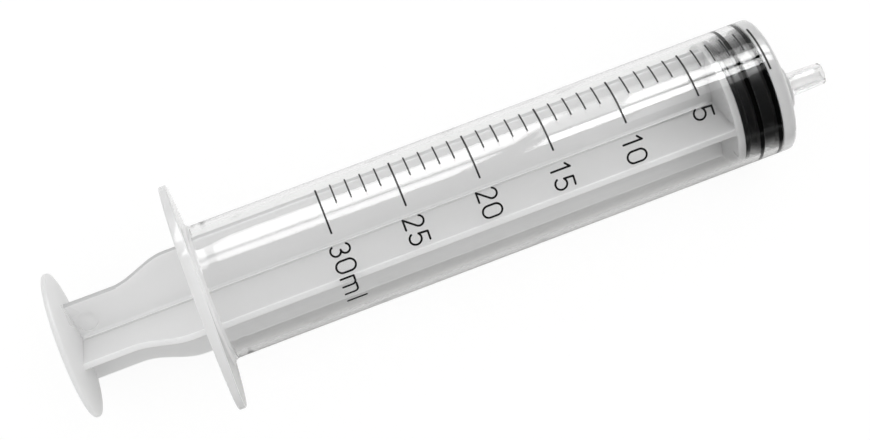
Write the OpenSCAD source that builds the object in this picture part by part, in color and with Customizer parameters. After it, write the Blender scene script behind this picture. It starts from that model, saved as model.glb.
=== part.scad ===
// Disposable 30 ml syringe with an off-centre slip nozzle, lying with its scale uppermost.
// Frame: the barrel's axis is X, the 0 ml line is at X = 0, the nozzle points to +X and +Z is up.
// Angles round the barrel are counted from +Z towards +Y.

/* [Barrel] */
// Inner diameter of the barrel
bore_d = 22.1; // [20:0.1:30]
// Thickness of the barrel's wall
wall = 0.9; // [0.7:0.05:2]
// Length of the barrel from its open end to its front face
barrel_len = 104.9; // [96:0.1:140]
// Thickness of the barrel's closed front end
front_wall = 1.15; // [0.8:0.05:2]
// Radius of the rounded edge round the front face
front_edge = 0.7; // [0.2:0.05:0.75]
// Width of the chamfer at the mouth
mouth_chamfer = 0.5; // [0.1:0.05:0.6]
// Height of the retaining bead inside the mouth
bead_h = 0.15; // [0.05:0.01:0.2]
// Length of the retaining bead
bead_len = 2; // [1:0.1:3]
// Distance of the retaining bead's middle from the open end
bead_at = 4.5; // [3:0.1:8]

/* [Nozzle] */
// Distance of the nozzle's axis below the barrel's axis
nozzle_drop = 7.05; // [0:0.05:7.5]
// Diameter of the nozzle's tip, a standard slip taper
nozzle_tip_d = 3.96; // [3.9:0.01:4.1]
// Length of the tapered nozzle in front of its boss
nozzle_len = 7; // [6:0.1:12]
// Diameter of the channel through the nozzle
nozzle_bore_d = 2.2; // [1:0.05:2.6]
// Diameter of the nozzle's boss
boss_d = 8.3; // [6:0.1:8.8]
// Height of the boss above the front face
boss_h = 4.9; // [2:0.1:7]
// Radius of the rounded edge on the boss
boss_edge = 0.4; // [0.1:0.05:1]
// Radius of the rounded edge on the nozzle's tip
nozzle_edge = 0.2; // [0.05:0.05:0.3]

/* [Finger flange] */
// Width of the flange over both wings
flange_w = 40.8; // [34:0.1:50]
// How far the flange's flats lie inside the thumb rest's rim, so that the syringe lies level
flat_inset = 0.13; // [0:0.01:0.5]
// Depth that each flat takes off the flange's oval
flat_cut = 0.35; // [0.1:0.05:2]
// Radius of the rounded wing tips
wing_r = 7.8; // [5:0.1:10]
// Thickness of the flange at the barrel
flange_root_t = 1.95; // [1.5:0.05:4]
// Thickness of the flange at the wing tips
flange_tip_t = 1.3; // [0.8:0.05:1.5]
// Radius of the fillet between the flange and the barrel
flange_fillet = 1.1; // [0.3:0.05:2]

/* [Plunger rod] */
// Thickness of the rod's four ribs
rib_t = 1.2; // [0.8:0.05:2]
// Radius of the ribs outside the barrel, where the thumb rest is
rib_narrow_r = 7.85; // [6:0.05:9]
// Length of the narrow stretch of the ribs, from the thumb rest's crown
rib_narrow_len = 7.7; // [4:0.1:20]
// Length of the curve that widens the ribs
rib_curve_len = 10.4; // [6:0.1:20]
// Thickness of the disc behind the seal
front_disc_t = 1.3; // [0.8:0.05:3]
// Diameter of the stem that carries the rod's head
stem_d = 6.4; // [4:0.1:8]
// Diameter of the head that snaps into the seal
head_d = 10.4; // [8.5:0.1:12]
// Thickness of the head
head_t = 1.6; // [1:0.1:2]
// Diameter of the ejector marks on the ribs
mark_d = 3.5; // [1:0.1:4]
// Depth of the ejector marks
mark_depth = 0.1; // [0.02:0.01:0.2]

/* [Thumb rest] */
// Diameter of the thumb rest
thumb_d = 25.76; // [20:0.02:30]
// Thickness of the thumb rest at its rim
thumb_rim_t = 1.05; // [0.8:0.05:2]
// Height of the crown on the thumb rest's front side, above its rim
thumb_crown = 1.56; // [0.5:0.02:3]
// Gap between the flange and the thumb rest's crown with the plunger fully in
thumb_gap = 20.5; // [15:0.1:40]
// Number of grip bars on the thumb rest
grip_count = 4; // [2:1:6]
// Distance from one grip bar to the next
grip_pitch = 2.05; // [1.6:0.05:3]
// Width of a grip bar
grip_w = 1.1; // [0.6:0.05:1.4]
// Height of a grip bar
grip_h = 0.9; // [0.7:0.05:1.5]
// Length of the grip bars
grip_len = 11.8; // [8:0.1:14]

/* [Piston seal] */
// Length of the seal from its front rib to its rear rim
seal_len = 7.25; // [6.5:0.05:10]
// Length of each sealing rib
seal_rib_len = 0.65; // [0.4:0.05:1]
// Distance of the second sealing rib behind the 0 ml line
seal_rib_at = 3.2; // [2.5:0.05:4]
// Depth of the grooves between the sealing ribs
seal_groove = 0.7; // [0.3:0.05:1]
// Depth of the seal's rear rim below the sealing ribs
seal_rim_step = 0.15; // [0.05:0.01:0.3]
// Height of the seal's shallow cone
seal_nose = 0.45; // [0.1:0.05:1]

/* [Scale] */
// Distance between two 1 ml lines
ml_pitch = 2.61; // [2:0.01:3]
// Number of 1 ml steps on the scale
scale_ml = 30; // [10:5:30]
// Where the lines start, measured round the barrel from its top
line_start = 9; // [2:0.1:14]
// Length of the 1 ml lines round the barrel
minor_len = 4.65; // [2:0.05:8]
// Length of the 5 ml lines round the barrel
major_len = 9.6; // [4:0.05:14]
// Width of the 1 ml lines
minor_w = 0.27; // [0.15:0.01:0.6]
// Width of the 5 ml lines
major_w = 0.33; // [0.15:0.01:0.8]
// Thickness of the printed ink
ink_t = 0.04; // [0.02:0.01:0.1]

/* [Numerals] */
// Height of a numeral
numeral_h = 3.68; // [2:0.02:5]
// Width of a numeral's strokes
stroke_w = 0.35; // [0.2:0.01:0.6]
// Distance from one figure to the next round the barrel
numeral_advance = 2.85; // [2:0.05:4]
// Gap between the end of a 5 ml line and the first figure
numeral_gap = 1.8; // [0.5:0.05:4]
// Distance between two numerals along the barrel
numeral_step = 12.92; // [10:0.01:15]
// Distance of the numerals' middle behind the line they mark, at the 0 ml line
numeral_shift = 0.41; // [0:0.01:1]

/* [Fits] */
// Radial clearance between the sealing ribs and the bore
seal_fit = 0.04; // [0.01:0.01:0.1]
// Radial clearance between the front disc and the bore
disc_fit = 0.08; // [0.05:0.01:0.1]
// Radial clearance between the ribs and the bore
rib_fit = 0.25; // [0.2:0.01:0.5]
// Radial clearance between the rod's head and stem and the seal
head_fit = 0.05; // [0.02:0.01:0.1]
// Clearance along the axis between the seal and the rod
seat_gap = 0.08; // [0.05:0.01:0.3]
// Clearance between the seal's cone and the front end
nose_gap = 0.3; // [0.1:0.05:0.6]

/* [Hidden] */
$fn = 96;
// Overrun of the cuts
cut = 0.6;
major_every = 5;
// Barrel
bore_r = bore_d / 2;
barrel_r = bore_r + wall;
front_inner = seal_nose + nose_gap;
front_face = front_inner + front_wall;
mouth = front_face - barrel_len;
bead_r = (bead_len * bead_len / 4 + bead_h * bead_h) / (2 * bead_h);
// Nozzle: a slip taper widens by 6 parts in 100
taper = 0.06;
boss_face = front_face + boss_h;
nozzle_tip = boss_face + nozzle_len;
nozzle_root_d = nozzle_tip_d + taper * nozzle_len;
// Finger flange: an oval of two wing arcs and two side arcs. The side arcs are a little tighter than
// arcs that touch the wing arcs would be, so they cross them at a very shallow angle.
side_ease_share = 0.003;
flange_flats = thumb_d - 2 * flat_inset;
flange_oval = flange_flats + 2 * flat_cut;
wing_at = flange_w / 2 - wing_r;
side_step = flange_oval / 2 - wing_r;
touching_r = (wing_at * wing_at - side_step * side_step) / (2 * side_step) + flange_oval / 2;
side_end = wing_at * touching_r / (touching_r - wing_r);
side_r = touching_r * (1 - side_ease_share);
side_at = side_r - flange_oval / 2;
// Thumb rest
thumb_r = thumb_d / 2;
crown = mouth - thumb_gap;
thumb_rear = crown - thumb_crown - thumb_rim_t;
crown_r = (thumb_r * thumb_r + thumb_crown * thumb_crown) / (2 * thumb_crown);
// Plunger rod: its two rib plates cross at right angles, turned half way between the flange's wings
plate_turn = 45;
rib_wide_r = bore_r - rib_fit;
narrow_end = crown + rib_narrow_len;
curve_end = narrow_end + rib_curve_len;
disc_front = -seal_len - seat_gap;
disc_rear = disc_front - front_disc_t;
curve_steps = 16;
curve_share = [for (i = [0:curve_steps]) i / curve_steps];
mark_x_share = 0.26;
mark_r_share = 0.46;
// Piston seal
seal_r = bore_r - seal_fit;
head_at_share = 0.62;
head_rear = -seal_len * head_at_share;
seal_bevel_share = 0.3;
// Scale
degrees_per_radian = 180 / PI;
ink_reach = ink_t + wall;
// Numerals: the figures stand towards the start of their places
figure_lead_share = 0.1;
numeral_start = line_start - major_len - numeral_gap;
figures_start = numeral_start + numeral_advance * figure_lead_share;
glyph_h = numeral_h - stroke_w;

// Angle that an arc length round the barrel spans
function arc(len) = len / barrel_r * degrees_per_radian;
// Point of a circle
function on_circle(centre, r, a) = [centre.x + r * cos(a), centre.y + r * sin(a)];
// Radius of the ribs along the widening curve, for a share of its length
function rib_r(share) = rib_narrow_r + (rib_wide_r - rib_narrow_r) * (1 - cos(180 * share)) / 2;

// Turns a profile of [radius, X] round the X axis
module lathe() {
    rotate([0, 90, 0])
        rotate_extrude()
            children();
}

// Turns a profile of [radius, X] round the X axis, from one angle down to another
module lathe_part(from, to) {
    rotate([0, 90, 0])
        rotate([0, 0, 180 - from])
            rotate_extrude(angle = from - to)
                children();
}

// Extrudes an outline of [down, across] along X, from one place to another
module along_x(from, to) {
    translate([from, 0, 0])
        rotate([0, 90, 0])
            linear_extrude(to - from)
                children();
}

// Rectangle of a profile, between two radii and two places along X
module band(r1, r2, x1, x2) {
    translate([r1, x1])
        square([r2 - r1, x2 - x1]);
}

module flange_outline() {
    intersection() {
        union() {
            intersection() {
                translate([side_at, 0])
                    circle(side_r, $fn = 240);
                translate([-side_at, 0])
                    circle(side_r, $fn = 240);
                square([flange_w, 2 * side_end], center = true);
            }
            for (side = [-1, 1])
                translate([0, side * wing_at])
                    circle(wing_r);
        }
        square([flange_flats, flange_w], center = true);
    }
}

module flange() {
    intersection() {
        along_x(mouth, mouth + flange_root_t + flange_fillet)
            flange_outline();
        lathe()
            union() {
                polygon([
                    [0, mouth], [flange_w / 2, mouth], [flange_w / 2, mouth + flange_tip_t],
                    [barrel_r, mouth + flange_root_t], [0, mouth + flange_root_t]
                ]);
                difference() {
                    band(0, barrel_r + flange_fillet, mouth, mouth + flange_root_t + flange_fillet);
                    translate([barrel_r + flange_fillet, mouth + flange_root_t + flange_fillet])
                        circle(flange_fillet);
                }
            }
    }
}

module nozzle() {
    translate([0, 0, -nozzle_drop])
        lathe()
            union() {
                band(0, boss_d / 2, front_inner, boss_face - boss_edge);
                band(0, boss_d / 2 - boss_edge, front_inner, boss_face);
                translate([boss_d / 2 - boss_edge, boss_face - boss_edge])
                    circle(boss_edge, $fn = 32);
                polygon([
                    [0, front_face], [nozzle_root_d / 2, front_face], [nozzle_root_d / 2, boss_face],
                    [nozzle_tip_d / 2, nozzle_tip - nozzle_edge],
                    [nozzle_tip_d / 2 - nozzle_edge, nozzle_tip], [0, nozzle_tip]
                ]);
            }
}

module barrel() {
    color("#e8eaec")
        difference() {
            union() {
                lathe()
                    union() {
                        band(0, barrel_r, mouth, front_face - front_edge);
                        band(0, barrel_r - front_edge, mouth, front_face);
                        translate([barrel_r - front_edge, front_face - front_edge])
                            circle(front_edge, $fn = 48);
                    }
                flange();
                nozzle();
            }
            lathe()
                difference() {
                    union() {
                        band(0, bore_r, mouth - cut, front_inner);
                        polygon([
                            [0, mouth - cut], [bore_r + mouth_chamfer + cut, mouth - cut],
                            [bore_r, mouth + mouth_chamfer], [0, mouth + mouth_chamfer]
                        ]);
                    }
                    translate([bore_r - bead_h + bead_r, mouth + bead_at])
                        circle(bead_r, $fn = 240);
                }
            translate([0, 0, -nozzle_drop])
                lathe()
                    band(0, nozzle_bore_d / 2, front_inner - cut, nozzle_tip + cut);
        }
}

// One plate of the rod's cross, with a rib on either side of the axis
module rib_plate() {
    edge = concat(
        [[crown - thumb_crown, rib_narrow_r]],
        [for (s = curve_share) [narrow_end + s * rib_curve_len, rib_r(s)]],
        [[disc_rear + front_disc_t / 2, rib_wide_r]]
    );
    other_edge = [for (i = [len(edge) - 1:-1:0]) [edge[i].x, -edge[i].y]];
    translate([0, 0, -rib_t / 2])
        linear_extrude(rib_t)
            polygon(concat(edge, other_edge));
}

module thumb_rest() {
    lathe()
        intersection() {
            translate([0, crown - crown_r])
                circle(crown_r, $fn = 360);
            band(0, thumb_r, thumb_rear, crown);
        }
    for (i = [0:grip_count - 1])
        translate([0, (i - (grip_count - 1) / 2) * grip_pitch, -grip_len / 2])
            linear_extrude(grip_len)
                union() {
                    translate([thumb_rear - grip_h + grip_w / 2, -grip_w / 2])
                        square([grip_h, grip_w]);
                    translate([thumb_rear - grip_h + grip_w / 2, 0])
                        circle(grip_w / 2, $fn = 32);
                }
}

module plunger_rod() {
    color("#dcdedd")
        difference() {
            union() {
                for (turn = [plate_turn, -plate_turn])
                    rotate([turn, 0, 0])
                        rib_plate();
                thumb_rest();
                lathe()
                    union() {
                        band(0, bore_r - disc_fit, disc_rear, disc_front);
                        band(0, stem_d / 2, disc_rear, head_rear + head_t / 2);
                        band(0, head_d / 2, head_rear, head_rear + head_t);
                    }
            }
            for (side = [0, 180])
                rotate([plate_turn + side, 0, 0])
                    translate([
                        crown + rib_narrow_len * mark_x_share, rib_narrow_r * mark_r_share,
                        rib_t / 2 - mark_depth
                    ])
                        cylinder(h = cut, d = mark_d, $fn = 48);
        }
}

module piston_seal() {
    groove_r = seal_r - seal_groove;
    rib_bevel = seal_rib_len * seal_bevel_share;
    color("#1d1f22")
        difference() {
            lathe()
                polygon([
                    [0, seal_nose], [groove_r, rib_bevel / 2], [seal_r - rib_bevel, 0],
                    [seal_r, -rib_bevel], [seal_r, -seal_rib_len], [groove_r, -seal_rib_len - rib_bevel],
                    [groove_r, -seal_rib_at + rib_bevel], [seal_r, -seal_rib_at],
                    [seal_r, -seal_rib_at - seal_rib_len],
                    [groove_r, -seal_rib_at - seal_rib_len - rib_bevel],
                    [groove_r, -seal_len + seal_rib_len + rib_bevel],
                    [seal_r - seal_rim_step, -seal_len + seal_rib_len],
                    [seal_r - seal_rim_step, -seal_len], [0, -seal_len]
                ]);
            lathe()
                union() {
                    band(0, stem_d / 2 + head_fit, -seal_len - cut, head_rear);
                    band(0, head_d / 2 + head_fit, head_rear - seat_gap, head_rear + head_t + seat_gap);
                }
        }
}

module ring_line(n, len, w) {
    lathe_part(arc(line_start), arc(line_start - len))
        translate([barrel_r, -n * ml_pitch - w / 2])
            square([ink_t, w]);
}

module major_graduations() {
    color("#16171a")
        for (n = [0:major_every:scale_ml])
            ring_line(n, major_len, major_w);
}

module minor_graduations() {
    color("#16171a")
        for (n = [1:scale_ml - 1])
            if (n % major_every != 0)
                ring_line(n, minor_len, minor_w);
}

// A straight stroke of a figure, between two points given as shares of its height
module bar(a, b) {
    step = (b - a) * glyph_h;
    translate(a * glyph_h)
        rotate(atan2(step.y, step.x))
            translate([0, -stroke_w / 2])
                square([norm(step), stroke_w]);
    translate(a * glyph_h)
        circle(stroke_w / 2, $fn = 24);
    translate(b * glyph_h)
        circle(stroke_w / 2, $fn = 24);
}

// A round stroke of a figure, from one angle up to another, given in shares of its height
module bow(centre, r, from, to) {
    far = 2 * r * glyph_h;
    steps = ceil((to - from) / 45);
    turn = (to - from) / steps;
    translate(centre * glyph_h) {
        intersection() {
            difference() {
                circle(r * glyph_h + stroke_w / 2, $fn = 64);
                circle(r * glyph_h - stroke_w / 2, $fn = 64);
            }
            polygon(concat([[0, 0]], [for (i = [0:steps]) on_circle([0, 0], far, from + i * turn)]));
        }
        for (a = [from, to])
            translate(on_circle([0, 0], r * glyph_h, a))
                circle(stroke_w / 2, $fn = 24);
    }
}

// Figures drawn as strokes: reading direction and height are shares of the figure's height
zero_r_share = 0.309;
module figure_0() {
    difference() {
        zero_body(stroke_w / 2);
        zero_body(-stroke_w / 2);
    }
}

module zero_body(grow) {
    r = zero_r_share * glyph_h;
    for (y = [r, glyph_h - r])
        translate([r, y])
            circle(r + grow, $fn = 64);
    translate([-grow, r])
        square([2 * (r + grow), glyph_h - 2 * r]);
}

one_x_share = 0.22;
one_flag_share = 0.8;
module figure_1() {
    bar([one_x_share, 0], [one_x_share, 1]);
    bar([one_x_share, 1], [0, one_flag_share]);
}

two_r_share = 0.26;
two_w_share = 0.52;
two_from = -38;
two_to = 158;
module figure_2() {
    centre_share = [two_r_share, 1 - two_r_share];
    bow(centre_share, two_r_share, two_from, two_to);
    bar(on_circle(centre_share, two_r_share, two_from), [0, 0]);
    bar([0, 0], [two_w_share, 0]);
}

three_top_share = 0.238;
three_low_share = 0.262;
three_open = 152;
module figure_3() {
    bow([three_low_share, 1 - three_top_share], three_top_share, -90, three_open);
    bow([three_low_share, three_low_share], three_low_share, -three_open, 90);
}

five_r_share = 0.303;
five_x_share = 0.24;
five_w_share = 0.5;
five_corner_share = 0.05;
five_from = -150;
five_to = 136;
module figure_5() {
    centre_share = [five_x_share, five_r_share];
    corner_share = [five_corner_share, 1];
    bow(centre_share, five_r_share, five_from, five_to);
    bar(on_circle(centre_share, five_r_share, five_to), corner_share);
    bar(corner_share, [five_w_share, 1]);
}

m_h_share = 0.69;
m_w_share = 0.47;
m_r_share = 0.19;
module letter_m() {
    bar([0, 0], [0, m_h_share]);
    for (i = [0, 1]) {
        corner_share = [(i + 1) * m_w_share - m_r_share, m_h_share - m_r_share];
        bar([i * m_w_share, m_h_share], [corner_share.x, m_h_share]);
        bow(corner_share, m_r_share, 0, 90);
        bar([(i + 1) * m_w_share, corner_share.y], [(i + 1) * m_w_share, 0]);
    }
}

module letter_l() {
    bar([0, 0], [0, 1]);
}

// Half the width of each figure from 0 to 5, as shares of its height; there is no 4
half_shares = [
    zero_r_share, one_x_share / 2, two_w_share / 2, three_low_share, 0,
    (five_x_share + five_r_share) / 2
];

module figure(n) {
    if (n == 0) figure_0();
    if (n == 1) figure_1();
    if (n == 2) figure_2();
    if (n == 3) figure_3();
    if (n == 5) figure_5();
}

// Lays a flat figure on the barrel: its middle is at an arc length from the top
module on_barrel(at, x, half) {
    intersection() {
        rotate([-arc(at), 0, 0])
            translate([x - glyph_h / 2, 0, barrel_r - ink_reach])
                rotate([0, 0, -90])
                    translate([-half * glyph_h, 0])
                        linear_extrude(2 * ink_reach)
                            children();
        lathe()
            band(barrel_r, barrel_r + ink_t, x - numeral_h, x + numeral_h);
    }
}

function numeral_x(n) = -n / major_every * numeral_step - numeral_shift;

module numeral(n) {
    tens = floor(n / 10);
    figures = tens > 0 ? [tens, n % 10] : [n];
    color("#16171a")
        for (i = [0:len(figures) - 1])
            on_barrel(
                figures_start - (i + 1 / 2) * numeral_advance, numeral_x(n), half_shares[figures[i]]
            )
                figure(figures[i]);
}

m_at_share = 2.66;
l_at_share = 3.81;
module unit_ml() {
    color("#16171a") {
        on_barrel(numeral_start - m_at_share * numeral_advance, numeral_x(scale_ml), m_w_share)
            letter_m();
        on_barrel(numeral_start - l_at_share * numeral_advance, numeral_x(scale_ml), 0)
            letter_l();
    }
}

barrel();
plunger_rod();
piston_seal();
major_graduations();
minor_graduations();
numeral(5);  // numeral_5
numeral(10);  // numeral_10
numeral(15);  // numeral_15
numeral(20);  // numeral_20
numeral(25);  // numeral_25
numeral(30);  // numeral_30
unit_ml();
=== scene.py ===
import bmesh
import bpy
from math import atan2, cos, pi, radians, sin, sqrt
from mathutils import Matrix, Vector


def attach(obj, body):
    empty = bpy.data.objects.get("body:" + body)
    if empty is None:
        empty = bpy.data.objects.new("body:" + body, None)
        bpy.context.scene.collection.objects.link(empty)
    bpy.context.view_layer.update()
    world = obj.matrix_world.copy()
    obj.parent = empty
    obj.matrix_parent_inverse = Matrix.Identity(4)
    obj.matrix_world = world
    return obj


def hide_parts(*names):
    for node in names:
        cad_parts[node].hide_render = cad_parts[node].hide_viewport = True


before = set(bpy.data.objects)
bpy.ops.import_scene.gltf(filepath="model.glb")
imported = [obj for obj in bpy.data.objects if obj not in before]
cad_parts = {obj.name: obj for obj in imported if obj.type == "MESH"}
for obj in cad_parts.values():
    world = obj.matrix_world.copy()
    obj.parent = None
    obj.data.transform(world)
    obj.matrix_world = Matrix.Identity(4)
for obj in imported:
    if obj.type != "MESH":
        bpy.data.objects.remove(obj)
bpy.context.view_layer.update()        # bodies barrel (with the printed scale), piston_seal and plunger_rod
bpy.ops.object.select_all(action="DESELECT")
print("frame loaded:", len(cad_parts), "nodes")

mm = 0.001               # every size below is in millimetres, as on the drawing
scene = bpy.context.scene


# Settings of the studio: the camera's place and turn, the lamps, and how bright the room is
studio = {
    "cameraAt": (-83.03, -66.528, 288.166),
    "cameraRight": (0.933133, -0.359429, -0.008533),
    "cameraUp": (0.351573, 0.907258, 0.230825),
    "lens": 71.597,
    "sensor": 36,
    "clip": (0.01, 50),      # in metres
    "lampTurn": 45,          # degrees from straight up towards +Y
    "lampAway": 380,
    # each softbox: place along X, place across, width, height, turn in its plane, brightness
    "softboxes": (
        ("softboxLeftTop", -53, 84, 146, 165, -11, 5.2),
        ("softboxLeftLow", -66, -65, 118, 68, -17, 5.2),
        ("softboxRightLow", 92, -122, 148, 76, -2, 9),
        ("softboxRightTop", 108, -2, 112, 92, -3, 9),
        ("softboxRightDim", 91, 45, 146, 200, -3, 2.0),
        ("softboxRightFaint", 95, -232, 64, 112, -2, 1.1),
    ),
    "keyLamp": (160, 60, 660, 420, 0.9),  # place, size and brightness of the lamp that lights matt surfaces
    "roomLight": 0.78,
    "floorAt": -12.885,
    "floorSize": 6000,
    "floorColor": "#EDEDEC",
    "floorBright": 1.06,     # brightness of the floor's glow
    "floorGlow": 0.85,       # share of the glow that the camera sees
    "floorGlowThrough": 0.6,     # share of it seen behind the plastic, fading out between two places along Y into a painted shadow of the syringe on the near side
    "shadeFrom": (-1, -6),
    "nozzleGlow": 0.85,      # share of it seen behind the nozzle, coming in between two places along X: a painted pool of light there
    "nozzleFrom": (2, 7),
    "ceiling": 0.01,         # how bright the room is in reflections
    "endRoom": 0.7,          # and at its two ends, where a direction points along X by these shares
    "endFrom": (0.5, 0.85),
    "lowRoom": 0.6,          # and low on the far side, below these heights, which rise along Y by the slope
    "lowFrom": (0.35, -0.1),
    "lowSlope": 0.5,
    "dark": 0.96,            # how far the mirrored floor turns dark, between two places along Y
    "darkFrom": (-20, -36),
    "darkFar": 0.65,         # what is left of that far away, between two places along Y
    "darkFades": (-150, -500),
}


def linearColor(hexText):
    parts = [int(hexText[i:i + 2], 16) / 255 for i in (1, 3, 5)]
    return tuple(p / 12.92 if p <= 0.04045 else ((p + 0.055) / 1.055) ** 2.4 for p in parts) + (1,)


def addNode(tree, kind, settings=None, **sockets):
    # adds a node; a socket's name is written without spaces, and takes a value or another node's output
    node = tree.nodes.new(kind)
    for name, value in (settings or {}).items():
        setattr(node, name, value)
    for name, value in sockets.items():
        if name.startswith("input"):
            socket = node.inputs[int(name[5:])]
        else:
            socket = next(s for s in node.inputs if s.name.replace(" ", "") == name)
        if isinstance(value, bpy.types.NodeSocket):
            tree.links.new(value, socket)
        else:
            socket.default_value = value
    return node


def newMaterial(name, **finish):
    material = bpy.data.materials.new(name)
    material.use_nodes = True
    tree = material.node_tree
    tree.nodes.clear()
    shader = addNode(tree, "ShaderNodeBsdfPrincipled", **finish)
    addNode(tree, "ShaderNodeOutputMaterial", Surface=shader.outputs[0])
    return material, tree, shader


# Modelling helpers

def openMesh():
    bpy.ops.object.transform_apply(location=True, rotation=True, scale=True)
    bpy.ops.object.mode_set(mode="EDIT")
    bpy.ops.mesh.select_all(action="SELECT")


def closeMesh(piece, name):
    bpy.ops.mesh.select_all(action="SELECT")
    bpy.ops.mesh.remove_doubles(threshold=0.0005 * mm)
    bpy.ops.mesh.normals_make_consistent(inside=False)
    bpy.ops.object.mode_set(mode="OBJECT")
    piece.name = piece.data.name = name


def chosenPoints(piece):
    return [v for v in bmesh.from_edit_mesh(piece.data).verts if v.select]


def startRing(x, radius, sides):
    bpy.ops.object.select_all(action="DESELECT")
    bpy.ops.mesh.primitive_circle_add(
        vertices=sides, radius=radius * mm, location=(x * mm, 0, 0), rotation=(0, pi / 2, 0))
    openMesh()
    return bpy.context.object


def pullRing(fromRing, toRing):
    # extrudes the chosen ring, then sizes and moves it; a ring is its place along X, radius and drop
    (x0, r0, drop0), (x1, r1, drop1) = fromRing, toRing
    bpy.ops.mesh.extrude_region_move()
    if abs(r1 - r0) > 1e-6:
        bpy.ops.transform.resize(value=(1, r1 / r0, r1 / r0), center_override=(x0 * mm, 0, -drop0 * mm))
    bpy.ops.transform.translate(value=((x1 - x0) * mm, 0, (drop0 - drop1) * mm))


def pullRings(rings):
    for fromRing, toRing in zip(rings, rings[1:]):
        pullRing(fromRing, toRing)


def arcRings(x, radius, arc, fromAngle, toAngle, steps, drop=0):
    # rings along a rounding whose centre is at x and radius; angle 0 points to +X and 90 outwards
    angles = [radians(fromAngle + (toAngle - fromAngle) * i / steps) for i in range(steps + 1)]
    return [(x + arc * cos(a), radius + arc * sin(a), drop) for a in angles]


def straightRings(fromX, toX, radius, steps, drop=0):
    return [(fromX + (toX - fromX) * i / steps, radius, drop) for i in range(steps + 1)]


def lathe(name, profile, sides):
    # draws a profile of X and radius point by point, then spins it round the X axis
    bpy.ops.object.select_all(action="DESELECT")
    bpy.ops.mesh.primitive_plane_add(size=mm, location=(profile[0][0] * mm, 0, profile[0][1] * mm))
    piece = bpy.context.object
    openMesh()
    bpy.ops.mesh.merge(type="CENTER")
    for (x0, r0), (x1, r1) in zip(profile, profile[1:]):
        bpy.ops.mesh.extrude_region_move(
            TRANSFORM_OT_translate={"value": ((x1 - x0) * mm, 0, (r1 - r0) * mm)})
    bpy.ops.mesh.select_all(action="SELECT")
    bpy.ops.mesh.spin(steps=sides, angle=2 * pi, center=(0, 0, 0), axis=(1, 0, 0))
    closeMesh(piece, name)
    return piece


def applyModifier(piece, kind, **settings):
    bpy.ops.object.select_all(action="DESELECT")
    bpy.context.view_layer.objects.active = piece
    piece.select_set(True)
    modifier = piece.modifiers.new("finish", kind)
    for name, value in settings.items():
        setattr(modifier, name, value)
    bpy.ops.object.modifier_apply(modifier=modifier.name)


def combine(piece, other, operation):
    applyModifier(piece, "BOOLEAN", operation=operation, object=other, solver="EXACT")
    bpy.data.objects.remove(other)


def smoothShade(piece, angle):
    bpy.ops.object.select_all(action="DESELECT")
    bpy.context.view_layer.objects.active = piece
    piece.select_set(True)
    bpy.ops.object.shade_smooth_by_angle(angle=radians(angle))
    alongX, slack = 0.99999, 1e-4
    for face in piece.data.polygons:
        # the flat ends and the ribs' sides stay flat, so no rounding beside them bends their shine
        n = face.normal
        if abs(n.x) > alongX or (abs(n.x) < slack and abs(abs(n.y) - abs(n.z)) < slack):
            face.use_smooth = False
    applyModifier(piece, "WEIGHTED_NORMAL", keep_sharp=True, weight=80)


# Barrel: one clear moulding with the finger flange, the front end, the boss and the nozzle
barrel = {
    "sides": 192,
    "boreR": 11.05,
    "wall": 0.9,
    "mouth": -103.0,
    "frontInner": 0.75,
    "frontFace": 1.9,
    "frontEdge": 0.7,
    "innerFillet": 0.35,
    "mouthChamfer": 0.5,
    "beadHeight": 0.09,
    "beadLength": 3.2,
    "beadAt": 4.2,
    "beadSteps": 12,
    "steps": 12,
    "milkyFrom": -0.4,
}
flange = {
    "halfWidth": 20.4,
    "flat": 12.75,
    "oval": 13.1,
    "wingR": 7.8,
    "rootT": 1.95,
    "tipT": 1.3,
    "fillet": 1.1,
    "edge": 0.28,
    "sideEase": 0.003,
}
nozzle = {
    "drop": 7.05,
    "bossR": 4.15,
    "bossFace": 6.8,
    "bossEdge": 0.4,
    "bossRing": 0.6,         # from the front face to the first ring round the boss
    "rootR": 2.19,
    "rootFillet": 0.3,
    "tipR": 1.98,
    "tip": 13.7995,
    "tipEdge": 0.2,
    "taperSteps": 4,
    "channelR": 1.1,
    "channelEdge": 0.12,
    "channelRing": 0.5,      # from the tip's rounding to the first ring in the channel
}


def outlineRadius(angle):
    # distance from the axis to the flange's outline: two wing arcs, two side arcs and two flats
    side, up = abs(sin(angle)), max(abs(cos(angle)), 1e-9)
    wingAt = flange["halfWidth"] - flange["wingR"]
    step = flange["oval"] - flange["wingR"]
    touching = (wingAt ** 2 - step ** 2) / (2 * step) + flange["oval"]
    sideEnd = wingAt * touching / (touching - flange["wingR"])
    sideR = touching * (1 - flange["sideEase"])
    sideAt = sideR - flange["oval"]
    reach = -sideAt * up + sqrt((sideAt * up) ** 2 - sideAt ** 2 + sideR ** 2)
    if reach * side > sideEnd:
        reach = sideEnd / side
    inside = (wingAt * side) ** 2 - wingAt ** 2 + flange["wingR"] ** 2
    if inside > 0:
        reach = max(reach, wingAt * side + sqrt(inside))
    return min(reach, flange["flat"] / up)


def flangeFront(radius):
    # place along X of the flange's tapered front face
    share = (radius - barrel["boreR"] - barrel["wall"]) / (
        flange["halfWidth"] - barrel["boreR"] - barrel["wall"])
    return barrel["mouth"] + flange["rootT"] - share * (flange["rootT"] - flange["tipT"])


def pullOutline(piece, placeAt):
    # extrudes the chosen ring, then puts each point where placeAt says: place along X and radius
    bpy.ops.mesh.extrude_region_move()
    for v in chosenPoints(piece):
        angle = atan2(v.co.y, v.co.z)
        x, radius = placeAt(angle)
        v.co = (x * mm, radius * sin(angle) * mm, radius * cos(angle) * mm)
    bmesh.update_edit_mesh(piece.data)


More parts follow.
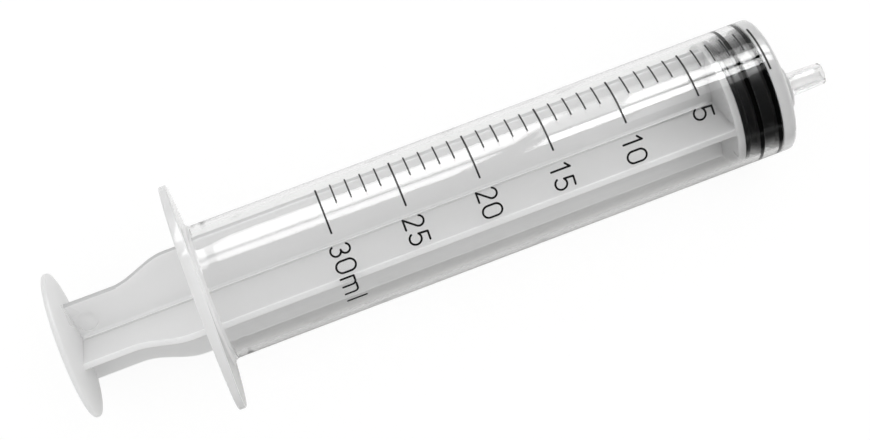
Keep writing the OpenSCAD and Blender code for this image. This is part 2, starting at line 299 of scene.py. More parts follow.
def buildBarrel():
    b, f, n = barrel, flange, nozzle
    mouth, outerR, edge = b["mouth"], b["boreR"] + b["wall"], f["edge"]
    chamferR = b["boreR"] + b["mouthChamfer"]
    piece = startRing(mouth, chamferR, b["sides"])

    # Rear face, rounded rim and tapered front face of the flange
    quarter = [radians(90 * i / 4) for i in range(5)]
    for a in quarter:
        pullOutline(piece, lambda t, a=a: (
            mouth + edge * (1 - cos(a)), outlineRadius(t) - edge * (1 - sin(a))))
    for a in quarter:
        pullOutline(piece, lambda t, a=a: (
            flangeFront(outlineRadius(t)) - edge * (1 - sin(a)), outlineRadius(t) - edge * (1 - cos(a))))
    filletR = outerR + f["fillet"]
    for share in (0.5, 0):
        def onFront(t, share=share):
            rim = outlineRadius(t) - edge
            radius = min(rim, filletR + max(rim - filletR, 0) * share)
            return flangeFront(radius), radius
        pullOutline(piece, onFront)
    filletX = mouth + f["rootT"] + f["fillet"]
    for x, r, drop in arcRings(filletX, filletR, f["fillet"], 180, 270, 8)[1:]:
        def onFillet(t, x=x, r=r):
            radius = min(r, outlineRadius(t) - edge)
            return max(x, flangeFront(radius)), radius
        pullOutline(piece, onFillet)

    # Outer wall, rounded front edge, front face, boss and nozzle
    drop, mid = n["drop"], n["drop"] / 2
    wallEnd = b["frontFace"] - b["frontEdge"]
    rings = straightRings(filletX, b["milkyFrom"], outerR, b["steps"])
    rings += straightRings(b["milkyFrom"], wallEnd, outerR, 2)[1:]
    rings += arcRings(wallEnd, outerR - b["frontEdge"], b["frontEdge"], 90, 0, 6)[1:]
    rings += [(b["frontFace"], (rings[-1][1] + n["bossR"]) / 2, mid), (b["frontFace"], n["bossR"], drop)]
    bossEnd = n["bossFace"] - n["bossEdge"]
    rings += straightRings(b["frontFace"] + n["bossRing"], bossEnd, n["bossR"], 3, drop)
    rings += arcRings(bossEnd, n["bossR"] - n["bossEdge"], n["bossEdge"], 90, 0, 5, drop)[1:]
    filletAt = (n["bossFace"] + n["rootFillet"], n["rootR"] + n["rootFillet"])
    rings += arcRings(*filletAt, n["rootFillet"], 180, 270, 4, drop)
    tipStart = n["tip"] - n["tipEdge"]
    for i in range(1, n["taperSteps"] + 1):
        share = i / n["taperSteps"]
        rings.append((filletAt[0] + share * (tipStart - filletAt[0]),
                      n["rootR"] + share * (n["tipR"] - n["rootR"]), drop))
    rings += arcRings(tipStart, n["tipR"] - n["tipEdge"], n["tipEdge"], 90, 0, 4, drop)[1:]

    # Channel, inner front face, bore, retaining bead and mouth
    c = n["channelEdge"]
    rings += [(x, r, drop) for x, r, d in arcRings(n["tip"] - c, n["channelR"] + c, c, 0, -90, 3)]
    rings += straightRings(n["tip"] - c - n["channelRing"], b["frontInner"] + c, n["channelR"], 6, drop)
    rings += arcRings(b["frontInner"] + c, n["channelR"] + c, c, 270, 180, 3, drop)[1:]
    innerR = b["boreR"] - b["innerFillet"]
    rings += [(b["frontInner"], innerR / 2, mid), (b["frontInner"], innerR, 0)]
    boreStart = b["frontInner"] - b["innerFillet"]
    rings += arcRings(boreStart, innerR, b["innerFillet"], 0, 90, 4)[1:]
    beadMid, beadHalf = mouth + b["beadAt"], b["beadLength"] / 2
    rings.append((b["milkyFrom"], b["boreR"], 0))
    rings += straightRings(b["milkyFrom"], beadMid + beadHalf, b["boreR"], b["steps"])[1:]
    for i in range(b["beadSteps"] - 1, -b["beadSteps"], -1):
        share = i / b["beadSteps"]
        crest = b["beadHeight"] * (1 + cos(pi * share)) / 2
        rings.append((beadMid + share * beadHalf, b["boreR"] - crest, 0))
    rings += [(beadMid - beadHalf, b["boreR"], 0), (mouth + b["mouthChamfer"], b["boreR"], 0),
              (mouth, chamferR, 0)]
    pullRings(rings)
    closeMesh(piece, "barrelMoulding")
    smoothShade(piece, 40)
    return piece


# Plunger rod: a cross of four ribs with the thumb rest behind and the disc, stem and head in front
rod = {
    "halfT": 0.6,
    "narrowR": 7.85,
    "wideR": 10.8,
    "ribTurn": 45,
    "ribStart": -125.3,
    "narrowMid": -119.4,
    "narrowEnd": -115.8,
    "curveEnd": -105.4,
    "wideEnd": -9.3,
    # towards the disc the ribs thicken: places along X and half thicknesses
    "thicker": ((-8.95, 0.66), (-8.7, 0.8), (-8.0, 1.1)),
    "rootBead": 0.36,        # the round line along the middle of the cross
    "tipEdge": 0.22,
    "curveSteps": 24,
    "steps": 13,
    "discRear": -8.63,
    "discFront": -7.33,
    "discR": 10.97,
    "stemR": 3.2,
    "headR": 5.2,
    "headRear": -4.495,
    "headFront": -2.895,
    "headLead": (0.8, 1.2),  # the slope in front of the head, along X and across
    "smallEdge": 0.2,        # rounding of the disc's rim and of the head
    "stemFillet": 0.3,
    "markR": 1.75,
    "markDepth": 0.2,
    "markAt": (-121.498, 3.611),
    "markCutter": 0.8,
    "innerR": 6,             # a ring on the flat rear of the disc and of the thumb rest
}
thumb = {
    "rimR": 12.865,
    "rear": -126.11,
    "rimT": 1.05,
    "crown": -123.5,
    "crownR": 53.95,
    "crownInset": 0.9,       # from the rim to the foot of the crown
    "crownSteps": 10,
    "rimEdge": 0.42,
    "bars": 4,
    "barPitch": 2.05,
    "barHalfW": 0.55,
    "barTop": -127.0,
    "barHalfLength": 5.9,
    "barRoot": 0.5,          # how far a bar reaches into the thumb rest
    "barEdge": 0.5,
}


def sectionPoints(ribR, halfT):
    # outline of the cross in the Y-Z plane: root beads and rounded rib tips, from +Z towards +Y
    root, tip = rod["rootBead"], rod["tipEdge"]
    points = []
    for rib in range(4):
        turn = radians(rod["ribTurn"] + 90 * rib)
        across, out = Vector((cos(turn), -sin(turn))), Vector((sin(turn), cos(turn)))
        local = []
        for i in range(5):
            a = radians(135 - 45 * i / 4)
            local.append((-halfT + root * cos(a), halfT + root * sin(a)))
        for a in (radians(0), radians(30), radians(60), radians(90)):
            local.append((-(halfT - tip) - tip * cos(a), ribR - tip + tip * sin(a)))
        local += [(-u, w) for u, w in reversed(local)]
        points += [across * u + out * w for u, w in local[:-1]]
    return points


def ribStations():
    # places along X from the thumb rest to the disc, each with the ribs' reach and half thickness
    r = rod
    stations = [(x, r["narrowR"], r["halfT"]) for x in (r["ribStart"], r["narrowMid"])]
    for i in range(r["curveSteps"] + 1):
        share = i / r["curveSteps"]
        x = r["narrowEnd"] + share * (r["curveEnd"] - r["narrowEnd"])
        reach = r["narrowR"] + (r["wideR"] - r["narrowR"]) * (1 - cos(pi * share)) / 2
        stations.append((x, reach, r["halfT"]))
    for i in range(1, r["steps"] + 1):
        x = r["curveEnd"] + (r["wideEnd"] - r["curveEnd"]) * i / r["steps"]
        stations.append((x, r["wideR"], r["halfT"]))
    return stations + [(x, r["wideR"], halfT) for x, halfT in r["thicker"]]


def buildRod():
    r, t = rod, thumb
    stations = ribStations()
    points = sectionPoints(*stations[0][1:])
    piece = startRing(stations[0][0], r["narrowR"], len(points))
    order = bmesh.from_edit_mesh(piece.data).verts.layers.int.new("order")
    ring = sorted(chosenPoints(piece), key=lambda v: atan2(v.co.y, v.co.z) % (2 * pi))
    for i, v in enumerate(ring):
        v[order] = i
        v.co = (stations[0][0] * mm, points[i].x * mm, points[i].y * mm)
    bmesh.update_edit_mesh(piece.data)
    bpy.ops.mesh.edge_face_add()
    for x, ribR, halfT in stations[1:]:
        bpy.ops.mesh.extrude_region_move()
        points = sectionPoints(ribR, halfT)
        layer = bmesh.from_edit_mesh(piece.data).verts.layers.int["order"]
        for v in chosenPoints(piece):
            v.co = (x * mm, points[v[layer]].x * mm, points[v[layer]].y * mm)
        bmesh.update_edit_mesh(piece.data)
    closeMesh(piece, "plungerRod")

    # Thumb rest: a dome with a rounded rim, and its grip bars
    rimFront = t["rear"] + t["rimT"]
    e = t["rimEdge"]
    profile = [(t["rear"], 0), (t["rear"], r["innerR"])]
    profile += [(x, q) for x, q, d in arcRings(t["rear"] + e, t["rimR"] - e, e, 180, 90, 5)]
    profile += [(x, q) for x, q, d in arcRings(rimFront - e, t["rimR"] - e, e, 90, 8, 5)]
    for i in range(t["crownSteps"], -1, -1):
        q = (t["rimR"] - t["crownInset"]) * i / t["crownSteps"]
        profile.append((t["crown"] - t["crownR"] + sqrt(t["crownR"] ** 2 - q ** 2), q))
    combine(piece, lathe("thumbRest", profile, 128), "UNION")
    for i in range(t["bars"]):
        combine(piece, buildGripBar((i - (t["bars"] - 1) / 2) * t["barPitch"]), "UNION")

    # Disc behind the seal, stem and head
    e, fillet = r["smallEdge"], r["stemFillet"]
    leadX, leadR = r["headLead"]
    profile = [(r["discRear"], 0), (r["discRear"], r["innerR"])]
    profile += [(x, q) for x, q, d in arcRings(r["discRear"] + e, r["discR"] - e, e, 180, 90, 4)]
    profile += [(x, q) for x, q, d in arcRings(r["discFront"] - e, r["discR"] - e, e, 90, 0, 4)]
    profile += [(r["discFront"], r["stemR"] + fillet), (r["discFront"] + fillet, r["stemR"]),
                (r["headRear"], r["stemR"]), (r["headRear"], r["headR"] - e), (r["headRear"] + e, r["headR"]),
                (r["headFront"] - leadX, r["headR"]), (r["headFront"], r["headR"] - leadR),
                (r["headFront"], 0)]
    combine(piece, lathe("frontDisc", profile, 128), "UNION")

    # Round marks of the ejector pins, on the two faces of one plate
    for side in (0, 180):
        turn = radians(r["ribTurn"] + side)
        height = r["halfT"] - r["markDepth"] + r["markCutter"] / 2
        at = Matrix.Rotation(turn, 4, "X") @ Vector((*r["markAt"], height))
        bpy.ops.object.select_all(action="DESELECT")
        bpy.ops.mesh.primitive_cylinder_add(
            vertices=48, radius=r["markR"] * mm, depth=r["markCutter"] * mm, location=at * mm,
            rotation=(turn, 0, 0))
        mark = bpy.context.object
        bpy.ops.object.transform_apply(location=True, rotation=True, scale=True)
        combine(piece, mark, "DIFFERENCE")
    smoothShade(piece, 35)
    return piece


def buildGripBar(y):
    t = thumb
    front = t["rear"] + t["barRoot"]
    bpy.ops.object.select_all(action="DESELECT")
    bpy.ops.mesh.primitive_cube_add(
        size=1, location=((t["barTop"] + front) / 2 * mm, y * mm, 0),
        scale=((front - t["barTop"]) * mm, 2 * t["barHalfW"] * mm, 2 * t["barHalfLength"] * mm))
    piece = bpy.context.object
    openMesh()
    mesh = bmesh.from_edit_mesh(piece.data)
    slack = 0.01
    for edge in mesh.edges:
        edge.select = all(v.co.x < (t["barTop"] + slack) * mm for v in edge.verts)
    mesh.select_flush_mode()
    bmesh.update_edit_mesh(piece.data)
    bpy.ops.mesh.select_mode(type="EDGE")
    bpy.ops.mesh.bevel(offset=t["barEdge"] * mm, segments=6, affect="EDGES")
    bpy.ops.mesh.select_mode(type="VERT")
    closeMesh(piece, "gripBar")
    return piece


# Piston seal: moulded rubber with two sealing ribs, a rear rim and the pocket for the rod's head
seal = {
    "ribR": 11.06,           # the squeezed ribs touch the bore
    "grooveR": 10.31,
    "rimR": 10.86,
    "nose": 0.45,
    "blunt": (0.01, 1.2),    # the cone's blunt tip: its depth and radius
    "lip": (0.18, 0.08, 0.2),    # front of the first rib: its foot, its shoulder, and the shoulder's drop
    "firstRib": -0.58,
    "ribLength": 0.74,
    "secondRib": -3.95,
    "rear": -7.25,
    "ribBevel": 0.195,
    "grooveEase": (0.15, 0.12),  # how a rib's slope runs out into the groove, along X and across
    "rimEase": 0.1,
    "stemR": 3.25,
    "pocketR": 5.25,
    "pocket": (-4.575, -2.815),
    "softEdge": 0.09,
}


def buildSeal():
    s = seal
    bevel, groove, rib, length = s["ribBevel"], s["grooveR"], s["ribR"], s["ribLength"]
    first, second, rear = s["firstRib"], s["secondRib"], s["rear"]
    easeX, easeR = s["grooveEase"]
    foot, shoulder, shoulderDrop = s["lip"]
    pocketRear, pocketFront = s["pocket"]

    def crestAndRear(front):
        # a rib's crest, and its slope down into the groove behind it
        slopeEnd = front - length - bevel
        return [(front, rib), (front - length, rib), (slopeEnd, groove + easeR), (slopeEnd - easeX, groove)]

    profile = [(s["nose"], 0), (s["nose"] - s["blunt"][0], s["blunt"][1])]
    profile += [(first + foot, groove), (first + shoulder, rib - shoulderDrop)] + crestAndRear(first)
    profile += [(second + bevel + easeX, groove), (second + bevel, groove + easeR)] + crestAndRear(second)
    profile += [(rear + length + bevel + s["rimEase"], groove), (rear + length, s["rimR"]), (rear, s["rimR"]),
                (rear, s["stemR"]), (pocketRear, s["stemR"]), (pocketRear, s["pocketR"]),
                (pocketFront, s["pocketR"]), (pocketFront, 0)]
    piece = lathe("pistonSeal", profile, 160)
    applyModifier(piece, "BEVEL", width=s["softEdge"] * mm, segments=2, limit_method="ANGLE",
                  angle_limit=radians(30))
    smoothShade(piece, 40)
    return piece


barrelPiece = buildBarrel()
print("barrel moulded:", len(barrelPiece.data.polygons), "faces")
rodPiece = buildRod()
print("plunger rod moulded:", len(rodPiece.data.polygons), "faces")
sealPiece = buildSeal()
print("piston seal moulded:", len(sealPiece.data.polygons), "faces")


# Surface detail that the mouldings and the ink have: an uneven tone, an uneven gloss and a fine relief. The
# sizes are of one patch along and across the part, in millimetres, and the relief is its height.
def addDetail(tree, shader, tones, toneSize, gloss, glossSize, relief, reliefSize):
    darkest, brightest = 0.2, 0.8        # the noise's usual limits
    place = addNode(tree, "ShaderNodeTexCoord")
    patterns = []
    for along, across in (toneSize, glossSize, reliefSize):
        size = addNode(tree, "ShaderNodeMapping", Vector=place.outputs["Object"],
                       Scale=(1 / (along * mm), 1 / (across * mm), 1 / (across * mm)))
        noise = addNode(tree, "ShaderNodeTexNoise", Vector=size.outputs[0], Scale=1.0, Detail=1.0)
        patterns.append(noise.outputs[0])
    spread = addNode(tree, "ShaderNodeMapRange", Value=patterns[0], FromMin=darkest, FromMax=brightest)
    tone = addNode(tree, "ShaderNodeMix", {"data_type": "RGBA"}, input0=spread.outputs[0],
                   input6=linearColor(tones[0]), input7=linearColor(tones[1]))
    tree.links.new(tone.outputs[2], shader.inputs["Base Color"])
    rough = addNode(tree, "ShaderNodeMapRange", Value=patterns[1], FromMin=darkest, FromMax=brightest,
                    ToMin=gloss[0], ToMax=gloss[1])
    tree.links.new(rough.outputs[0], shader.inputs["Roughness"])
    bump = addNode(tree, "ShaderNodeBump", Strength=1.0, Distance=relief * mm, Height=patterns[2])
    tree.links.new(bump.outputs[0], shader.inputs["Normal"])
    return place, rough


def letLightThrough(tree, shader, through):
    # light from the lamps and between matt surfaces goes straight through, so what is inside is lit
    path = addNode(tree, "ShaderNodeLightPath")
    passing = addNode(tree, "ShaderNodeMath", {"operation": "MAXIMUM"},
                      input0=path.outputs["Is Shadow Ray"], input1=path.outputs["Is Diffuse Ray"])
    clear = addNode(tree, "ShaderNodeBsdfTransparent", Color=linearColor(through))
    mix = addNode(tree, "ShaderNodeMixShader", input0=passing.outputs[0], input1=shader.outputs[0],
                  input2=clear.outputs[0])
    tree.links.new(mix.outputs[0], tree.nodes["Material Output"].inputs["Surface"])


# What the polypropylene materials share: the refractive index, the milky kind and the polished skin
plasticIOR = 1.49
milky = {"SubsurfaceWeight": 1.0, "SubsurfaceRadius": (1, 1, 1)}
polished = {"CoatWeight": 1.0, "CoatRoughness": 0.04}

# Clear polypropylene, injection moulded in a polished tool: a glossy wall whose highlights waver a little,
# because the melt leaves long flow marks, 34 mm by 5 mm and a hundredth of a millimetre high
clearWall, tree, shader = newMaterial("clearPolypropyleneWall", IOR=plasticIOR, TransmissionWeight=1.0)
addDetail(tree, shader, ("#FBFBFB", "#FFFFFF"), (30, 6), (0.01, 0.05), (14, 2.5), 0.009, (34, 5))
letLightThrough(tree, shader, "#FEFEFE")

# The same wall inside, wiped with silicone oil by the seal: smears where the seal stopped in its stroke
smears = {
    "size": (7, 2.2),
    "turn": 28,
    "limits": (0.58, 0.72),  # of the noise, between which a smear begins
    "haze": 0.16,
    "wipedFrom": (-24, -32),
}
oiledBore, tree, shader = newMaterial("siliconeOiledBore", IOR=plasticIOR, TransmissionWeight=1.0)
place, rough = addDetail(
    tree, shader, ("#FBFBFB", "#FFFFFF"), (30, 6), (0.02, 0.07), (9, 1.2), 0.006, (18, 2))
along, across = smears["size"]
size = addNode(tree, "ShaderNodeMapping", Vector=place.outputs["Object"],
               Rotation=(0, 0, radians(smears["turn"])),
               Scale=(1 / (along * mm), 1 / (across * mm), 1 / (across * mm)))
smear = addNode(tree, "ShaderNodeTexNoise", Vector=size.outputs[0], Scale=1.0, Detail=4.0, Distortion=0.8)
smear = addNode(tree, "ShaderNodeMapRange", Value=smear.outputs[0], FromMin=smears["limits"][0],
                FromMax=smears["limits"][1], ToMax=smears["haze"])
parts = addNode(tree, "ShaderNodeSeparateXYZ", input0=place.outputs["Object"])
wiped = addNode(tree, "ShaderNodeMapRange", Value=parts.outputs["X"], FromMin=smears["wipedFrom"][0] * mm,
                FromMax=smears["wipedFrom"][1] * mm)
haze = addNode(tree, "ShaderNodeMath", {"operation": "MULTIPLY_ADD"}, input0=smear.outputs[0],
               input1=wiped.outputs[0], input2=rough.outputs[0])
tree.links.new(haze.outputs[0], shader.inputs["Roughness"])
letLightThrough(tree, shader, "#FEFEFE")

# The same plastic where it is thick, in the flange: the light is scattered in it, so it looks milky in soft
# clouds of 6 mm under a polished skin
clearThick, tree, shader = newMaterial(
    "clearPolypropyleneThick", IOR=plasticIOR, TransmissionWeight=0.22, SubsurfaceScale=2 * mm,
    **milky, **polished)
addDetail(tree, shader, ("#F6F6F6", "#FDFDFD"), (6, 6), (0.3, 0.4), (8, 5), 0.001, (8, 6))
letLightThrough(tree, shader, "#F4F4F4")

# The front wall and the boss: as milky, and thin; their tone is painted a little grey, as shade from the
# black seal behind
clearFront, tree, shader = newMaterial(
    "clearPolypropyleneFront", IOR=plasticIOR, TransmissionWeight=0.15, SubsurfaceScale=0.5 * mm,
    **milky, **polished)
addDetail(tree, shader, ("#D9D9D9", "#E2E2E2"), (4, 4), (0.3, 0.4), (6, 4), 0.001, (8, 6))
letLightThrough(tree, shader, "#F4F4F4")

# The nozzle: with a skin drawn smooth along the tool's pin, and bright, because its channel gathers the light
# and a painted pool of light lies on the floor behind it
clearNozzle, tree, shader = newMaterial(
    "clearPolypropyleneNozzle", IOR=plasticIOR, TransmissionWeight=0.9, SubsurfaceScale=4 * mm,
    **milky, **polished)
addDetail(tree, shader, ("#FAFAFA", "#FFFFFF"), (6, 3), (0.06, 0.14), (6, 2), 0.001, (8, 3))
letLightThrough(tree, shader, "#F8F8F8")

for material in (clearWall, clearThick, clearNozzle, oiledBore, clearFront):
    barrelPiece.data.materials.append(material)
wallSlot, thickSlot, nozzleSlot, boreSlot, frontSlot = range(5)
boreSlack, faceSlack = 0.05, 0.02
flangeEnd = barrel["mouth"] + flange["rootT"] + 0.4      # a little way up the fillet
for face in barrelPiece.data.polygons:
    away = (face.center.y ** 2 + face.center.z ** 2) ** 0.5 / mm
    x = face.center.x / mm
    face.material_index = boreSlot if away < barrel["boreR"] + boreSlack else wallSlot
    if x < flangeEnd and away > barrel["boreR"] - boreSlack:
        face.material_index = thickSlot
    if x > barrel["milkyFrom"]:
        face.material_index = frontSlot
    if x > nozzle["bossFace"] - faceSlack:
        face.material_index = nozzleSlot

# Settings of the rod's two materials
rodLook = {
    # sizes of the tone, gloss, its sizes, relief and its sizes
    "detail": ((30, 12), (0.26, 0.34), (20, 6), 0.0012, (6, 3)),
    "grey": "#6A6B6B",       # painted shade towards the seal: its tone, reached between these places along X
    "greyFrom": (-32, -2),
    # where two ribs meet, a painted highlight line with a painted shade beside it: its places across the
    # fold, from 0 to 1, and their levels
    "foldLine": ((0.33, 0.5), (0.36, 0.3), (0.47, 0.3), (0.53, 1.0), (0.7, 1.0), (0.78, 0.5)),
    "foldStart": (-123.4, -122.9),   # it comes in and goes out between these places along X
    "foldEnd": (-9.2, -10.5),
    "farEdge": "#CFCFCF",    # painted shade of the edges on the far side: its tone, reached between these places along Y
    "farFrom": (-3, 3),
    # which faces are edges: from this place along X to this far before the disc, this far from the axis, and
    # facing outwards by these shares on the far side and the near side
    "edgeStart": -123.8,
    "edgeEnd": 0.3,
    "edgeAway": 6.5,
    "edgeFacing": (0.75, 0.2),
}


def paintShadeTowardsSeal(tree, parts, tone, share):
    # painted shade: the black rubber swallows the light that the milky plastic carries, so the tone is
    # painted darker over the last 30 mm
    shadeNearSeal = addNode(tree, "ShaderNodeMapRange", {"interpolation_type": "SMOOTHERSTEP"},
                       Value=parts.outputs["X"], FromMin=rodLook["greyFrom"][0] * mm,
                       FromMax=rodLook["greyFrom"][1] * mm, ToMin=0.0, ToMax=share)
    return addNode(tree, "ShaderNodeMix", {"data_type": "RGBA"}, input0=shadeNearSeal.outputs[0],
                   input6=tone, input7=linearColor(rodLook["grey"])).outputs[2]


# Natural polypropylene of the rod, injection moulded: milky, because the light goes some way into it, with a
# satin skin, faint flow marks along the ribs and a relief of 6 mm by 3 mm, a thousandth high
rodPlastic, tree, shader = newMaterial(
    "naturalPolypropyleneMoulded", IOR=plasticIOR, SubsurfaceScale=3.5 * mm, **milky)
place, rough = addDetail(tree, shader, ("#E3E3E3", "#EBEBEB"), *rodLook["detail"])
parts = addNode(tree, "ShaderNodeSeparateXYZ", input0=place.outputs["Object"])
# the rod's tone is painted darker towards the seal, as shade
darker = paintShadeTowardsSeal(tree, parts, shader.inputs["Base Color"].links[0].from_socket, 0.3)
# Where the ribs meet, the light of both gathers in a bright line, painted as a highlight about 0.7 mm wide,
# with a thin painted shade on its other side; the fold is the angle from the nearest groove's bottom
around = addNode(tree, "ShaderNodeMath", {"operation": "ARCTAN2"}, input0=parts.outputs["Y"],
                 input1=parts.outputs["Z"])
fold = addNode(tree, "ShaderNodeMath", {"operation": "WRAP"}, input0=around.outputs[0], input1=pi / 4,
               input2=-pi / 4)
acrossFold = addNode(tree, "ShaderNodeMapRange", Value=fold.outputs[0], FromMin=-pi / 4, FromMax=pi / 4)
line = addNode(tree, "ShaderNodeValToRGB", Fac=acrossFold.outputs[0])
points = line.color_ramp.elements
points[0].position, points[1].position = rodLook["foldLine"][0][0], rodLook["foldLine"][-1][0]
for at, level in rodLook["foldLine"][1:-1]:
    points.new(at)
for point, (at, level) in zip(points, rodLook["foldLine"]):
    point.color = (level, level, level, 1)
fromRest = addNode(tree, "ShaderNodeMapRange", Value=parts.outputs["X"],
                   FromMin=rodLook["foldStart"][0] * mm, FromMax=rodLook["foldStart"][1] * mm)
toDisc = addNode(tree, "ShaderNodeMapRange", Value=parts.outputs["X"],
                 FromMin=rodLook["foldEnd"][0] * mm, FromMax=rodLook["foldEnd"][1] * mm)
alongRibs = addNode(tree, "ShaderNodeMath", {"operation": "MULTIPLY"}, input0=fromRest.outputs[0],
                    input1=toDisc.outputs[0])
lit = addNode(tree, "ShaderNodeMix", {"data_type": "RGBA", "blend_type": "OVERLAY"},
              input0=alongRibs.outputs[0], input6=darker, input7=line.outputs[0])
tree.links.new(lit.outputs[2], shader.inputs["Base Color"])
rodPiece.data.materials.append(rodPlastic)

# The ribs' edges: a painted highlight, brighter for the light that the plates pipe to them; on the far side a
# painted shade turns them greyer
rodEdgePaintedLight, tree, shader = newMaterial(
    "naturalPolypropyleneEdgePaintedLight", IOR=plasticIOR, SubsurfaceScale=0.8 * mm, **milky)
# the edges' brighter tone is a painted highlight
place, rough = addDetail(tree, shader, ("#F8F8F8", "#FEFEFE"), *rodLook["detail"])
parts = addNode(tree, "ShaderNodeSeparateXYZ", input0=place.outputs["Object"])
far = addNode(tree, "ShaderNodeMapRange", Value=parts.outputs["Y"], FromMin=rodLook["farFrom"][0] * mm,
              FromMax=rodLook["farFrom"][1] * mm)
grey = addNode(tree, "ShaderNodeMix", {"data_type": "RGBA"}, input0=far.outputs[0],
               input6=shader.inputs["Base Color"].links[0].from_socket,
               input7=linearColor(rodLook["farEdge"]))
darker = paintShadeTowardsSeal(tree, parts, grey.outputs[2], 0.45)
tree.links.new(darker, shader.inputs["Base Color"])
rodPiece.data.materials.append(rodEdgePaintedLight)
for face in rodPiece.data.polygons:
    across = Vector((0, face.center.y, face.center.z))
    x = face.center.x / mm
    outward = rodLook["edgeFacing"][0 if across.y > 0 else 1]
    onRibs = rodLook["edgeStart"] < x < rod["discRear"] - rodLook["edgeEnd"]
    farOut = across.length > rodLook["edgeAway"] * mm
    if onRibs and farOut and face.normal.dot(across.normalized()) > outward:
        face.material_index = 1

# Moulded rubber under a film of silicone oil: nearly black, dull in itself, with a soft wet shine; its grain
# is drawn at 0.35 mm, because the real one is too fine to show
rubber, tree, shader = newMaterial("siliconedRubberMoulded", IOR=1.45, CoatWeight=1.0, CoatRoughness=0.24)
addDetail(tree, shader, ("#030404", "#08090A"), (2, 1.4), (0.3, 0.42), (1.2, 0.6), 0.004, (0.35, 0.35))
sealPiece.data.materials.append(rubber)

# The same rubber where its ribs are pressed on the bore: no air lies between, so it has no shine and is black
pressed, tree, shader = newMaterial("siliconedRubberPressed", IOR=1.0)
addDetail(tree, shader, ("#030303", "#060606"), (2, 1.4), (0.8, 1.0), (1.2, 0.6), 0.002, (0.35, 0.35))
sealPiece.data.materials.append(pressed)
pressedFrom = barrel["boreR"] - 0.1
for face in sealPiece.data.polygons:
    away = (face.center.y ** 2 + face.center.z ** 2) ** 0.5 / mm
    face.material_index = 1 if away > pressedFrom else 0

# Pad-printed ink: thin, dark, slightly glossy, and a little thinner in patches of half a millimetre
ink, tree, shader = newMaterial("padPrintedInk", IOR=1.45)
addDetail(tree, shader, ("#040405", "#101113"), (0.6, 0.5), (0.3, 0.5), (0.5, 0.4), 0.004, (0.3, 0.3))
for name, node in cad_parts.items():
    if name not in ("barrel", "plunger_rod", "piston_seal"):
        for slot in node.material_slots:
            slot.material = ink

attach(barrelPiece, "barrel")
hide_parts("barrel")
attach(rodPiece, "plunger_rod")
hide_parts("plunger_rod")
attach(sealPiece, "piston_seal")
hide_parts("piston_seal")
print("materials and bodies set")


# Studio
def seenDirectly(tree):
    # 1 for rays from the camera, a mirror or glass that have met no matt surface yet
    path = addNode(tree, "ShaderNodeLightPath")
    first = addNode(tree, "ShaderNodeMath", {"operation": "ADD", "use_clamp": True},
                    input0=path.outputs["Is Camera Ray"], input1=path.outputs["Is Glossy Ray"])
    second = addNode(tree, "ShaderNodeMath", {"operation": "ADD", "use_clamp": True},
                     input0=first.outputs[0], input1=path.outputs["Is Transmission Ray"])
    fresh = addNode(tree, "ShaderNodeMath", {"operation": "SUBTRACT", "use_clamp": True},
                    input0=1.0, input1=path.outputs["Diffuse Depth"])
    return addNode(tree, "ShaderNodeMath", {"operation": "MULTIPLY"},
                   input0=second.outputs[0], input1=fresh.outputs[0]).outputs[0]


def seenMirrored(tree):
    # 1 for rays that a surface has mirrored, and 0 for those that only passed through the clear plastic
    path = addNode(tree, "ShaderNodeLightPath")
    return addNode(tree, "ShaderNodeMath", {"operation": "MINIMUM"},
                   input0=path.outputs["Glossy Depth"], input1=1.0).outputs[0]


